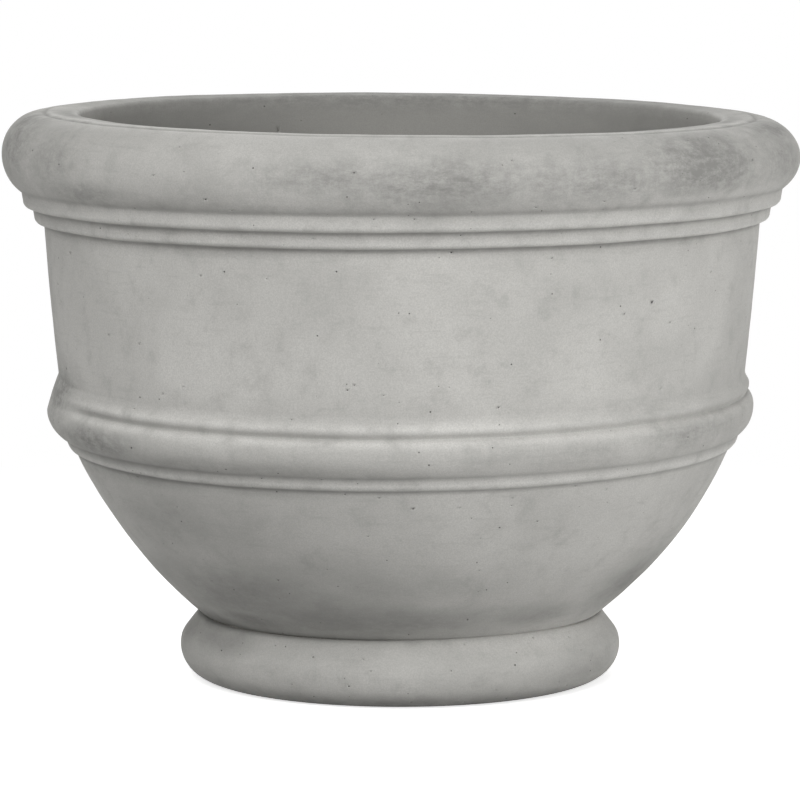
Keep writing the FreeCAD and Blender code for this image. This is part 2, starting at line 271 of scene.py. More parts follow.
class Section:
    """A half section in the X-Z plane, drawn from its tip and then turned about the pot's axis."""

    def __init__(self, radius, height, edge):
        self.bm = bmesh.new()
        self.start = self.bm.verts.new((radius, 0.0, height))
        self.tip = self.start
        self.edge = edge
        self.rounded = []
        self.marks = {"recess": [], "worn": []}

    def line(self, radius, height):
        """A straight run of short edges."""
        start, end = self.tip.co.copy(), Vector((radius, 0.0, height))
        steps = max(math.ceil((end - start).length / self.edge), 1)
        for step in range(steps):
            self.tip = bmesh.ops.extrude_vert_indiv(self.bm, verts=[self.tip])["verts"][0]
            self.tip.co = start.lerp(end, (step + 1) / steps)

    def arc(self, radius, height, round_radius):
        """An arc that bulges to the right of the way it runs, or to the left if the radius is negative."""
        start = self.tip.co.copy()
        chord = Vector((radius, 0.0, height)) - start
        half = chord.length / 2
        right = Vector((chord.z, 0.0, -chord.x)).normalized() * math.copysign(1.0, round_radius)
        centre = start + chord / 2 - right * round_leg(round_radius, half)
        turn = 2 * math.asin(half / abs(round_radius))
        finest_turn = math.radians(7.0)
        steps = max(math.ceil(turn * abs(round_radius) / self.edge), math.ceil(turn / finest_turn))
        spun = bmesh.ops.spin(
            self.bm, geom=[self.tip], cent=centre, axis=(0.0, 1.0, 0.0),
            angle=-math.copysign(turn, round_radius), steps=steps, use_duplicate=False,
        )
        self.tip = next(part for part in spun["geom_last"] if isinstance(part, bmesh.types.BMVert))

    def soften(self, radius):
        """The corner at the tip is rounded when the section is turned."""
        self.rounded.append((self.tip, radius))

    def mark(self, kind, reach):
        """The tip gathers dirt and painted shade as a recess, or is rubbed pale and painted lighter as a
        worn edge.
        """
        self.marks[kind].append(Mark(self.tip.co.copy(), reach))

    def mark_beside(self, kind, out, up, reach):
        """A place beside the tip gathers dirt and painted shade, or is rubbed pale and painted lighter."""
        self.marks[kind].append(Mark(self.tip.co + Vector((out, 0.0, up)), reach))

    def turned(self, steps):
        """Close the section, round its corners, note its marks on the vertices and spin it."""
        self.line(self.start.co.x, self.start.co.z)
        for corner, radius in self.rounded:
            bmesh.ops.bevel(
                self.bm, geom=[corner], offset=radius, offset_type="OFFSET", segments=3, profile=0.5,
                affect="VERTICES", material=-1, clamp_overlap=True,
            )
        for kind, marks in self.marks.items():
            layer = self.bm.verts.layers.float.new(kind)
            for vert in self.bm.verts:
                nearness = [math.exp(-(((vert.co - mark.at).length / mark.reach) ** 2)) for mark in marks]
                vert[layer] = max(nearness, default=0.0)
        bmesh.ops.spin(
            self.bm, geom=self.bm.verts[:] + self.bm.edges[:], cent=(0.0, 0.0, 0.0), axis=(0.0, 0.0, 1.0),
            angle=2 * math.pi, steps=steps, use_merge=True, use_duplicate=False,
        )
        bmesh.ops.remove_doubles(self.bm, verts=self.bm.verts[:], dist=0.001 * MM)
        bmesh.ops.recalc_face_normals(self.bm, faces=self.bm.faces[:])
        return self.bm


class BowlHeights:
    """Heights and radii of the bowl that follow from its sizes and from the frame."""

    def __init__(self, sizes):
        self.base = BOWL_LOW.z
        self.fillet = self.base + sizes.round_height
        self.band_foot = self.fillet + sizes.fillet_height
        self.band = self.band_foot + sizes.band_lower_height
        self.band_head = self.band + sizes.band_upper_height
        self.wall_foot = self.band_head + sizes.bead_height
        self.wall_head = self.wall_foot + sizes.wall_height
        self.steps_head = self.wall_head + sizes.step_count * sizes.step_height
        self.lip = BOWL_HIGH.z
        self.crest = self.lip - sizes.lip_rise
        self.rim_radius = BOWL_HIGH.x
        self.steps_radius = self.rim_radius - sizes.rim_overhang
        self.wall_head_radius = self.steps_radius - sizes.step_count * sizes.step_depth
        self.wall_foot_radius = self.wall_head_radius - sizes.wall_taper
        self.fillet_radius = self.wall_foot_radius - sizes.setback
        self.crest_radius = self.rim_radius - sizes.roll_radius
        self.band_radius = self.wall_foot_radius + sizes.band_standout
        self.crease_radius = self.wall_foot_radius + sizes.bead_crease_standout


def draw_band(section, sizes, at, worn_edge):
    """The fillet, the broad round and the bead, from the lower side up to the foot of the wall."""
    section.soften(worn_edge)
    section.mark("recess", reach=2.5 * MM)
    section.line(at.fillet_radius + sizes.fillet_standout, at.fillet + sizes.fillet_rise)
    section.soften(sizes.fillet_edge)
    section.mark("worn", reach=5 * MM)
    section.line(at.band_radius - sizes.band_lower_inset, at.band_foot)
    section.soften(worn_edge)
    section.mark("recess", reach=3 * MM)
    section.arc(at.band_radius, at.band, swept_radius(sizes.band_lower_inset, sizes.band_lower_height))
    upper_inset = at.band_radius - at.crease_radius
    section.arc(at.crease_radius, at.band_head, swept_radius(upper_inset, sizes.band_upper_height))
    section.soften(worn_edge)
    section.mark("recess", reach=2 * MM)
    # Painted shade on the bead's underside above the crease; painted light on the band's upward face below
    # it.
    section.mark_beside("recess", out=2 * MM, up=4 * MM, reach=4 * MM)
    section.mark_beside("worn", out=4 * MM, up=-4 * MM, reach=5 * MM)
    section.line(at.wall_foot_radius + sizes.bead_standout, at.band_head + sizes.bead_widest)
    section.soften(sizes.bead_edge)
    # Wear and painted light on the bead's upper face.
    section.mark_beside("worn", out=-1 * MM, up=3 * MM, reach=5 * MM)
    section.line(at.wall_foot_radius, at.wall_foot)
    section.soften(4 * worn_edge)


def draw_rim(section, sizes, at, worn_edge):
    """The steps, the roll and the lip with its groove, from the head of the wall to the mouth."""
    for step in range(sizes.step_count):
        section.soften(worn_edge)
        section.mark("recess", reach=3 * MM)
        radius = at.wall_head_radius + (step + 1) * sizes.step_depth
        foot = at.wall_head + step * sizes.step_height
        section.line(radius - sizes.step_slant, foot + sizes.step_rise)
        section.soften(sizes.step_edge)
        section.mark("worn", reach=3 * MM)
        section.line(radius, foot + sizes.step_height)
    section.soften(worn_edge)
    # Dirt and painted shade under the roll.
    section.mark_beside("recess", out=4 * MM, up=1 * MM, reach=4 * MM)
    section.arc(at.crest_radius, at.crest, sizes.roll_radius)
    section.line(at.crest_radius - sizes.lip_groove_width / 2, at.crest - sizes.lip_groove_depth)
    section.soften(worn_edge / 2)
    section.mark("recess", reach=3 * MM)
    section.line(at.crest_radius - sizes.lip_groove_width, at.lip)
    section.soften(sizes.lip_edge)
    section.mark("worn", reach=14 * MM)
    section.line(at.crest_radius - sizes.lip_width, at.lip - sizes.lip_fall)
    section.soften(sizes.lip_inner_edge)
    section.mark("worn", reach=6 * MM)


def draw_inside(section, sizes, at, worn_edge):
    """The inner wall, the round towards the floor, the floor and the seat of the drain sleeve."""
    section.line(at.wall_foot_radius - sizes.wall_thickness, at.fillet + sizes.inner_break_rise)
    section.soften(20 * MM)
    floor_radius = sizes.seat_radius - sizes.floor_inset
    section.arc(floor_radius, at.base + sizes.floor_thickness, -sizes.inner_radius)
    section.soften(10 * MM)
    flange_seat = SLEEVE_HIGH.x + sizes.drain_gap
    sleeve_seat = flange_seat - sizes.sleeve_flange_width
    section.line(flange_seat, SLEEVE_HIGH.z)
    section.soften(worn_edge)
    section.mark("recess", reach=8 * MM)
    section.line(flange_seat, SLEEVE_HIGH.z - sizes.sleeve_flange)
    section.line(sleeve_seat, SLEEVE_HIGH.z - sizes.sleeve_flange)
    section.line(sleeve_seat, at.base)


def draw_bowl(sizes, marks):
    """The bowl's whole section, drawn from the seat up the outside and down the inside."""
    at = BowlHeights(sizes)
    section = Section(sizes.seat_radius, at.base, marks.profile_edge)
    section.soften(marks.worn_edge)
    section.mark("recess", reach=7 * MM)
    section.arc(at.fillet_radius, at.fillet, sizes.round_radius)
    draw_band(section, sizes, at, marks.worn_edge)
    swell_radius = (sizes.wall_height**2 + sizes.wall_taper**2) / (8 * sizes.wall_swell)
    section.arc(at.wall_head_radius, at.wall_head, swell_radius)
    draw_rim(section, sizes, at, marks.worn_edge)
    section.edge = marks.hidden_edge
    draw_inside(section, sizes, at, marks.worn_edge)
    return section.turned(marks.girth_steps)


def draw_foot(sizes, marks):
    """The foot's section: the ground face, the round bulge, the seat and the hollow."""
    base, top = FOOT_LOW.z, FOOT_HIGH.z
    bulge = Vector((FOOT_HIGH.x, sizes.bulge_height))
    start = Vector((sizes.base_radius, base))
    end = Vector((FOOT_HIGH.x - sizes.slope_inset, sizes.slope_height))
    legs = (bulge - start).length * (end - bulge).length * (end - start).length
    twice_area = abs((bulge - start).cross(end - start))
    section = Section(sizes.bore_radius + sizes.bore_chamfer, base, marks.hidden_edge)
    section.line(*start)
    section.edge = marks.profile_edge
    section.soften(marks.worn_edge)
    section.mark("recess", reach=5 * MM)
    section.arc(*end, legs / (2 * twice_area))
    section.soften(6 * marks.worn_edge)
    section.line(sizes.top_radius, top)
    section.soften(2 * marks.worn_edge)
    section.mark("recess", reach=2.5 * MM)
    section.edge = marks.hidden_edge
    section.line(sizes.bore_radius, top)
    section.soften(marks.worn_edge)
    section.line(sizes.bore_radius, base + sizes.bore_chamfer)
    bm = section.turned(marks.girth_steps)
    smear_inner, smear_outer = end.x - 22 * MM, end.x - 18 * MM
    for vert in bm.verts:
        aside = (math.degrees(turn_of(vert.co)) - sizes.smear_turn) / sizes.smear_spread
        on_slope = smooth_step(sizes.slope_height, top, vert.co.z)
        on_edge = smooth_step(smear_inner, smear_outer, vert.co.xy.length)
        vert.co.z += sizes.smear_height * math.exp(-(aside**2)) * (on_slope * on_edge)
    return bm


def draw_mortar(sizes, marks):
    """The thin mortar ring between foot and bowl, as it squeezes out under the bowl's weight."""
    inner = sizes.bore_radius + sizes.bore_chamfer
    edge_radius = 0.3 * MM
    squeezed_radius = BED_HIGH.x - 1 * MM
    lump_spacing = 30 * MM
    section = Section(inner, BED_LOW.z, marks.hidden_edge)
    section.line(BED_HIGH.x, BED_LOW.z)
    section.soften(edge_radius)
    section.line(BED_HIGH.x, BED_HIGH.z)
    section.soften(edge_radius)
    section.line(inner, BED_HIGH.z)
    bm = section.turned(marks.girth_steps)
    for vert in bm.verts:
        out = Vector((vert.co.x, vert.co.y, 0.0)).normalized()
        if vert.co.xy.length > squeezed_radius:
            vert.co += out * sizes.mortar_spread * noise.noise(vert.co / lump_spacing)
    return bm


class Shift(NamedTuple):
    """How the casting sits off true at a height: rise at the right, drop in front and shift aside."""

    height: float
    right_rise: float
    front_drop: float
    aside: float


def eased_at(rows, height):
    """The row at a height, eased between the two rows around it."""
    for low, high in zip(rows, rows[1:]):
        if height < high.height:
            part = smooth_step(low.height, high.height, height)
            return type(low)(*(a + (b - a) * part for a, b in zip(low, high)))
    return rows[-1]


def lean_by_hand(bm, sizes):
    """Shift the casting off true as the mould left it: the rim and the band lean, the sides drift."""
    at = BowlHeights(sizes)
    shifts = (
        Shift(at.base, 0.0, 0.0, 0.0),
        Shift(at.base + sizes.round_height / 2, 1.0 * MM, 2.0 * MM, 2.6 * MM),
        Shift(at.fillet, 3.1 * MM, 6.9 * MM, 2.7 * MM),
        Shift(at.band, 3.1 * MM, 6.5 * MM, 0.3 * MM),
        Shift(at.band_head, 2.8 * MM, 8.7 * MM, 0.8 * MM),
        Shift(at.wall_foot, 2.2 * MM, 8.2 * MM, 1.7 * MM),
        Shift(at.wall_foot + sizes.wall_height / 2, 1.5 * MM, 2.5 * MM, 1.7 * MM),
        Shift(at.wall_head, 2.0 * MM, 0.9 * MM, 1.9 * MM),
        Shift(at.steps_head, 1.8 * MM, 0.6 * MM, 1.8 * MM),
        Shift(at.crest, -3.3 * MM, 1.8 * MM, 0.0),
    )
    lip_sag = 1.5 * MM
    for vert in bm.verts:
        shift = eased_at(shifts, vert.co.z)
        sag = lip_sag * smooth_step(at.steps_head, at.crest, vert.co.z)
        vert.co.z += (shift.right_rise * vert.co.x + shift.front_drop * vert.co.y) / at.rim_radius - sag
        vert.co.x += shift.aside


def ripple(bm, marks, low):
    """Uneven the surface with broad waves and small ripples, easing off towards the bedded face at low."""
    bm.normal_update()
    full_height = low + 30 * MM
    moves = []
    for vert in bm.verts:
        ease = smooth_step(low, full_height, vert.co.z)
        broad = noise.noise(vert.co / marks.wave_spacing) * marks.waves
        small = noise.noise(vert.co / marks.ripple_spacing) * marks.ripples
        moves.append(vert.normal * (broad + small) * ease)
    for vert, move in zip(bm.verts, moves):
        vert.co += move


def turn_of(point):
    """The angle about the pot's axis, in radians: 0 faces the photograph, positive to its right."""
    return math.atan2(point.x, -point.y)


def wear_left_of_band(bm, sizes):
    """Wear the bead above the band down to a plain flare at the far left."""
    at = BowlHeights(sizes)
    top = at.wall_foot + 4 * MM
    inner = at.wall_foot_radius - sizes.wall_thickness / 2
    flare = 0.75
    # Turns in degrees at which the wear starts at the front, is full, and fades out behind.
    front_start, front_full, back_full, back_end = -56.0, -72.0, -120.0, -150.0
    recess = bm.verts.layers.float["recess"]
    for vert in bm.verts:
        radius = vert.co.xy.length
        turn = math.degrees(turn_of(vert.co))
        worn = smooth_step(front_start, front_full, turn) * smooth_step(back_end, back_full, turn)
        if worn > 0 and radius > inner and at.band < vert.co.z < top:
            part = ((top - vert.co.z) / (top - at.band)) ** flare
            plain = at.wall_foot_radius + (at.band_radius - at.wall_foot_radius) * part
            vert.co.xy *= 1 + (plain / radius - 1) * worn
            vert[recess] *= 1 - worn


def corner_place(vert):
    """Where a vertex is, to put vertices in an order that is the same each run."""
    return vert.co.to_tuple()


def face_place(face):
    """Where a face's corners are, to put faces in an order that is the same each run."""
    return sorted(corner_place(vert) for vert in face.verts)


def sink_pits(bm, chooser, number, weigh, marks):
    """Sink round air holes into faces that are drawn at random, each by its weight."""
    pit = bm.verts.layers.float.get("pit") or bm.verts.layers.float.new("pit")
    shortest = 2.2 * marks.smallest_pit
    face_share = 0.42
    collar = 0.2 * MM
    tightest, widest = 0.8, 1.15
    walls_and_falls = ((0.12, -0.9), (0.45, -0.5))
    roomy = [face for face in bm.faces if min(edge.calc_length() for edge in face.edges) > shortest]
    roomy.sort(key=face_place)
    weights = [weigh(face) * face.calc_area() for face in roomy]
    faces = list(dict.fromkeys(chooser.choices(roomy, weights, k=number)))
    frames = []
    for face in faces:
        room = face_share * min(edge.calc_length() for edge in face.edges)
        size = marks.smallest_pit + (marks.largest_pit - marks.smallest_pit) * chooser.random() ** 2
        along = (face.verts[1].co - face.verts[0].co).normalized()
        frames.append((face.calc_center_median(), along, face.normal.cross(along), min(size, room)))
    bmesh.ops.inset_individual(bm, faces=faces, thickness=collar, use_even_offset=False)
    rims = list(dict.fromkeys(edge for face in faces for edge in face.edges))
    bmesh.ops.bisect_edges(bm, edges=rims, cuts=1)
    for face, (centre, along, across, size) in zip(faces, frames):
        for vert in sorted(face.verts, key=corner_place):
            place = vert.co - centre
            way = math.atan2(place.dot(across), place.dot(along))
            reach = size * chooser.uniform(tightest, widest)
            vert.co = centre + (along * math.cos(way) + across * math.sin(way)) * reach
    bm.normal_update()
    for wall, fall in walls_and_falls:
        bmesh.ops.inset_individual(
            bm, faces=faces, thickness=wall * marks.smallest_pit, depth=fall * marks.smallest_pit,
            use_even_offset=False,
        )
        for face in faces:
            for vert in face.verts:
                vert[pit] = 1.0


class Patch(NamedTuple):
    """A patch of stain, of painted shade, or of wear and painted light: its turn from the front in degrees,
    its height, its reach and its depth.
    """

    turn: float
    height: float
    along: float
    up: float
    depth: float


def patches(*rows):
    """Patches from rows with the turn in degrees, and the height and the two reaches in millimetres."""
    return [Patch(turn, height * MM, along * MM, up * MM, depth) for turn, height, along, up, depth in rows]


# Mottled weather stains; smooth painted shade low on the pot and on the far sides inside; and places that
# are rubbed pale, with painted light on the pot's lit right side.
STAINS = patches(
    (-74, 520, 70, 30, 1.05),
    (-78, 540, 70, 14, 1.10),
    (76, 540, 80, 16, 1.20),
    (-58, 512, 60, 28, 0.75),
    (-50, 484, 60, 13, 0.85),
    (-36, 477, 70, 7, 0.50),
    (0, 478, 210, 6, 0.40),
    (-10, 508, 80, 20, 0.90),
    (6, 503, 100, 26, 1.10),
    (28, 502, 120, 28, 0.90),
    (47, 512, 90, 36, 1.35),
    (70, 514, 80, 36, 0.80),
    (180, 541, 330, 14, 1.10),
    (-32, 436, 75, 6, 0.60),
    (-42, 455, 60, 5, 0.70),
    (-76, 286, 60, 26, 1.20),
    (-62, 284, 50, 10, 0.60),
    (-58, 254, 70, 16, 1.20),
    (-30, 246, 120, 10, 0.50),
    (14, 256, 45, 9, 0.50),
    (30, 258, 50, 12, 0.60),
    (40, 290, 90, 14, 0.50),
    (52, 264, 80, 16, 0.80),
)

SHADES = patches(
    (-50, 228, 90, 16, 1.25),
    (-24, 222, 60, 7, 0.60),
    (-46, 180, 100, 50, 0.80),
    (-40, 106, 140, 40, 1.15),
    (-4, 128, 120, 30, 0.60),
    (-40, 76, 70, 14, 1.50),
    (-60, 68, 70, 14, 1.60),
    (-56, 50, 60, 14, 1.20),
    (-78, 46, 50, 22, 1.00),
    (64, 108, 70, 36, 1.25),
    (-10, 84, 150, 24, 1.20),
    (34, 86, 80, 14, 1.00),
    (10, 35, 230, 40, 0.45),
    (0, 3, 300, 12, 1.40),
    (54, 24, 90, 26, 0.85),
    # The last two rows: painted shade on the far sides inside the pot.
    (-134, 502, 140, 42, 1.10),
    (126, 502, 200, 42, 1.25),
)

RUBS_AND_LIGHT = patches(
    (-24, 330, 150, 42, 0.55),
    (46, 478, 160, 8, 0.60),
    (50, 458, 210, 16, 0.60),
    (-28, 455, 120, 18, 0.60),
    (28, 150, 100, 30, 0.35),
    (-20, 28, 70, 18, 0.30),
    (46, 57, 80, 7, 0.60),
)


class CreaseDirtAndShade(NamedTuple):
    """How dark the creases are at a height, on the pot's left and on its right, from dirt and painted shade.
    """

    height: float
    left: float
    right: float


CREASE_DIRT_AND_SHADE = (
    CreaseDirtAndShade(0.0, 1.2, 1.0),
    CreaseDirtAndShade(55 * MM, 1.0, 0.0),
    CreaseDirtAndShade(75 * MM, 1.3, 0.2),
    CreaseDirtAndShade(216 * MM, 1.8, 1.1),
    CreaseDirtAndShade(230 * MM, 1.8, 1.1),
    CreaseDirtAndShade(240 * MM, 1.0, 0.6),
    CreaseDirtAndShade(290 * MM, 0.7, 0.0),
    CreaseDirtAndShade(435 * MM, 1.2, 1.9),
    CreaseDirtAndShade(460 * MM, 1.2, 1.8),
    CreaseDirtAndShade(474 * MM, 0.9, 0.9),
    CreaseDirtAndShade(535 * MM, 1.4, 1.0),
    CreaseDirtAndShade(550 * MM, 1.4, 1.0),
)


def deepest(patches, point):
    """The deepest of the patches at a point, each fading out from its middle."""
    depth = 0.0
    for patch in patches:
        aside = math.remainder(turn_of(point) - math.radians(patch.turn), 2 * math.pi)
        along = aside * point.xy.length / patch.along
        above = (point.z - patch.height) / patch.up
        depth = max(depth, patch.depth * math.exp(-(along**2) - above**2))
    return depth


def lay_stains_and_painted_light(bm):
    """Note each vertex's stain and painted shade, the dirt and painted shade in its crease, and how far it
    is rubbed pale and painted lighter.
    """
    stain = bm.verts.layers.float.new("stain")
    shade = bm.verts.layers.float.new("shade")
    recess = bm.verts.layers.float["recess"]
    worn = bm.verts.layers.float["worn"]
    bead_height = 288 * MM
    bead_reach = 28 * MM
    # Turns in radians between which the bead is rubbed and painted lighter, from its left end to its right
    # end.
    bead_left, bead_left_full, bead_right_full, bead_right = -1.35, -1.0, 0.0, 0.9
    far_left, far_right = -0.9, 0.9
    sheltered_back, open_front = -0.6, 0.4
    for vert in bm.verts:
        turn = turn_of(vert.co)
        vert[stain] = deepest(STAINS, vert.co)
        vert[shade] = deepest(SHADES, vert.co)
        # Crease darkening from dirt and painted shade, eased from its strength on the left to its strength
        # on the right.
        crease_dirt_and_shade = eased_at(CREASE_DIRT_AND_SHADE, vert.co.z)
        rightness = smooth_step(far_left, far_right, math.sin(turn))
        vert[recess] *= crease_dirt_and_shade.left + (crease_dirt_and_shade.right - crease_dirt_and_shade.left) * rightness
        at_bead = math.exp(-(((vert.co.z - bead_height) / bead_reach) ** 2))
        from_left = smooth_step(bead_left, bead_left_full, turn)
        along_bead = smooth_step(bead_right, bead_right_full, turn) * from_left
        kept = 1 - at_bead * (1 - along_bead)
        front = smooth_step(sheltered_back, open_front, math.cos(turn))
        vert[worn] = max(vert[worn] * kept, deepest(RUBS_AND_LIGHT, vert.co)) * front


def note_inside_shade(bm, lip_radius, lip_height):
    """Note on each vertex how far inside the pot it lies, from the lip's top down, as the mask of painted
    shade inside the pot.
    """
    bm.normal_update()
    layer = bm.verts.layers.float.new("inside")
    facing_in = 0.4
    inner_radius = lip_radius - 12 * MM
    top, bottom = lip_height + 2 * MM, lip_height - 22 * MM
    for vert in bm.verts:
        radius = vert.co.xy.length
        inward = vert.normal.z - vert.normal.xy.dot(vert.co.xy) / radius
        within = smooth_step(0.0, facing_in, inward) * smooth_step(lip_radius, inner_radius, radius)
        vert[layer] = within * smooth_step(top, bottom, vert.co.z)


def finish_piece(bm, name, body, slot, material, *nodes):
    """Make a piece of a mesh, ride it on its body and let it stand for its nodes."""
    mesh = bpy.data.meshes.new(name)
    bm.to_mesh(mesh)
    bm.free()
    mesh.shade_smooth()
    mesh.materials.append(material)
    piece = bpy.data.objects.new(name, mesh)
    bpy.context.scene.collection.objects.link(piece)
    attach(piece, body)
    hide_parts(*nodes)
    return piece


def add_node(tree, kind, inputs=None, **settings):
    """Add a node, set it up, and fill each input with a value or a link."""
    node = tree.nodes.new(kind)
    for name, value in settings.items():
        setattr(node, name, value)
    for socket, value in (inputs or {}).items():
        if isinstance(value, bpy.types.NodeSocket):
            tree.links.new(value, node.inputs[socket])
        else:
            node.inputs[socket].default_value = value
    return node


def noise_value(tree, vector, scale, detail=4.0, roughness=0.55, distortion=0.0):
    """A cloudy value from 0 to 1."""
    inputs = {
        "Vector": vector, "Scale": scale, "Detail": detail, "Roughness": roughness, "Distortion": distortion
    }
    return add_node(tree, "ShaderNodeTexNoise", inputs).outputs["Fac"]


def spread(tree, value, low, high, to_low=0.0, to_high=1.0):
    """Stretch the part of a value from low to high over a new range."""
    inputs = {"Value": value, "From Min": low, "From Max": high, "To Min": to_low, "To Max": to_high}
    return add_node(tree, "ShaderNodeMapRange", inputs, interpolation_type="SMOOTHSTEP").outputs["Result"]


def reckon(tree, operation, first, second):
    """One sum of two values."""
    return add_node(tree, "ShaderNodeMath", {0: first, 1: second}, operation=operation).outputs["Value"]


def solid(value):
    """A property's colour with full alpha; a link stays as it is."""
    return value if isinstance(value, bpy.types.NodeSocket) else (*value, 1.0)


def tint(tree, factor, below, above):
    """A colour mixed from two by a factor."""
    inputs = {"Factor": factor, "A": solid(below), "B": solid(above)}
    return add_node(tree, "ShaderNodeMix", inputs, data_type="RGBA").outputs[2]


def mapped(tree, vector, scale):
    """Coordinates stretched along the axes."""
    return add_node(tree, "ShaderNodeMapping", {"Vector": vector, "Scale": scale}).outputs["Vector"]


class Effect:
    """A shader node group with named inputs and outputs."""

    def __init__(self, name, inputs, outputs):
        self.tree = bpy.data.node_groups.new(name, "ShaderNodeTree")
        self.tree.interface.new_socket("Vector", in_out="INPUT", socket_type="NodeSocketVector")
        for label, default in inputs.items():
            socket = self.tree.interface.new_socket(label, in_out="INPUT", socket_type="NodeSocketFloat")
            socket.default_value = default
        for label in outputs:
            self.tree.interface.new_socket(label, in_out="OUTPUT", socket_type="NodeSocketFloat")
        self.inputs = self.tree.nodes.new("NodeGroupInput").outputs
        self.outputs = self.tree.nodes.new("NodeGroupOutput").inputs

    def put_out(self, label, value):
        self.tree.links.new(value, self.outputs[label])


def mottle_effect():
    """Cloudy colour of a mix that was poured, and its fine grain."""
    effect = Effect(
        "poured_mottle", {"Cloud Scale": 9.0, "Grain Scale": 600.0}, ("Clouds", "Smudges", "Grain")
    )
    tree, vector = effect.tree, effect.inputs["Vector"]
    cloud_scale, grain_scale = effect.inputs["Cloud Scale"], effect.inputs["Grain Scale"]
    smudge_scale = reckon(tree, "MULTIPLY", cloud_scale, 5.5)
    effect.put_out("Clouds", noise_value(tree, vector, cloud_scale, detail=5.0, distortion=0.6))
    effect.put_out("Smudges", noise_value(tree, vector, smudge_scale, detail=6.0, roughness=0.62))
    effect.put_out("Grain", noise_value(tree, vector, grain_scale, detail=3.0, roughness=0.7))
    return effect.tree


def streak_effect():
    """Level streaks that follow the mould's turning, and streaks that run down the surface."""
    effect = Effect("mould_streaks", {"Fineness": 1.0}, ("Level", "Falling"))
    tree, fineness = effect.tree, effect.inputs["Fineness"]
    level = mapped(tree, effect.inputs["Vector"], (26.0, 26.0, 230.0))
    falling = mapped(tree, effect.inputs["Vector"], (190.0, 190.0, 9.0))
    effect.put_out("Level", noise_value(tree, level, fineness, detail=4.0, roughness=0.6))
    effect.put_out("Falling", noise_value(tree, falling, fineness, detail=3.0, roughness=0.6))
    return effect.tree


def pinhole_effect():
    """Small air holes strewn over a cast surface, some cells with a hole and most without."""
    effect = Effect("pinholes", {"Cells": 110.0, "Hole Size": 0.09, "Bare Share": 0.8}, ("Holes",))
    tree = effect.tree
    cells = add_node(
        tree, "ShaderNodeTexVoronoi", {"Vector": effect.inputs["Vector"], "Scale": effect.inputs["Cells"]}
    )
    lot = add_node(tree, "ShaderNodeSeparateColor", {"Color": cells.outputs["Color"]})
    drawn = reckon(tree, "GREATER_THAN", lot.outputs["Red"], effect.inputs["Bare Share"])
    size = reckon(tree, "MULTIPLY", lot.outputs["Green"], effect.inputs["Hole Size"])
    inside = reckon(tree, "SUBTRACT", size, cells.outputs["Distance"])
    blur = 0.03
    edge = add_node(tree, "ShaderNodeMapRange", {"Value": inside, "From Min": -blur, "From Max": blur})
    effect.put_out("Holes", reckon(tree, "MULTIPLY", edge.outputs["Result"], drawn))
    return effect.tree


def settled_dirt_and_shade_effect():
    """Dirt, stains and painted shade where a mask says, broken up by noise."""
    effect = Effect(
        "settled_dirt_and_shade", {"Where": 0.0, "Breakup Scale": 40.0, "Patchiness": 0.3, "Depth": 1.0}, ("Dirt",)
    )
    tree = effect.tree
    brushed = mapped(tree, effect.inputs["Vector"], (0.7, 0.7, 1.5))
    broken = noise_value(tree, brushed, effect.inputs["Breakup Scale"], detail=9.0, roughness=0.78)
    mean_lift = 0.9
    thinnest = reckon(tree, "SUBTRACT", mean_lift, effect.inputs["Patchiness"])
    thickest = reckon(tree, "ADD", mean_lift, effect.inputs["Patchiness"])
    lift = spread(tree, broken, CLOUD_LOW, CLOUD_HIGH, thinnest, thickest)
    dirt = reckon(tree, "MULTIPLY", effect.inputs["Where"], lift)
    effect.put_out("Dirt", reckon(tree, "MULTIPLY", dirt, effect.inputs["Depth"]))
    return effect.tree


EFFECTS = {
    "mottle": mottle_effect,
    "streaks": streak_effect,
    "pinholes": pinhole_effect,
    "dirt": settled_dirt_and_shade_effect,
}


class Finish:
    """A material with one Principled shader, reading the piece's own Object coordinates."""

    effects = {}

    def __init__(self, name):
        self.material = bpy.data.materials.new(name)
        self.material.use_nodes = True
        self.tree = self.material.node_tree
        self.shader = self.tree.nodes["Principled BSDF"]
        self.vector = self.tree.nodes.new("ShaderNodeTexCoord").outputs["Object"]

    def effect(self, name, **values):
        """Place a shared effect with its own values. Words of an input's name are joined by _ ."""
        if name not in Finish.effects:
            Finish.effects[name] = EFFECTS[name]()
        inputs = {label.replace("_", " "): value for label, value in values.items()}
        inputs["Vector"] = self.vector
        return add_node(self.tree, "ShaderNodeGroup", inputs, node_tree=Finish.effects[name]).outputs

    def attribute(self, name):
        """A mask that the piece's vertices carry."""
        return add_node(self.tree, "ShaderNodeAttribute", attribute_name=name).outputs["Fac"]

    def settled(self, mask, **values):
        """Dirt, stains and painted shade where the piece's vertices carry a mask."""
        return self.effect("dirt", Where=self.attribute(mask), **values)["Dirt"]

    def dress(self, base, cloud, rough, height, depth):
        """Join the colour, a roughness that follows a cloudy value, and the bump to the shader."""
        roughness = spread(self.tree, cloud, CLOUD_LOW, CLOUD_HIGH, *rough)
        bump = add_node(self.tree, "ShaderNodeBump", {"Height": height, "Distance": depth})
        self.tree.links.new(base, self.shader.inputs["Base Color"])
        self.tree.links.new(roughness, self.shader.inputs["Roughness"])
        self.tree.links.new(bump.outputs["Normal"], self.shader.inputs["Normal"])
        return self.material


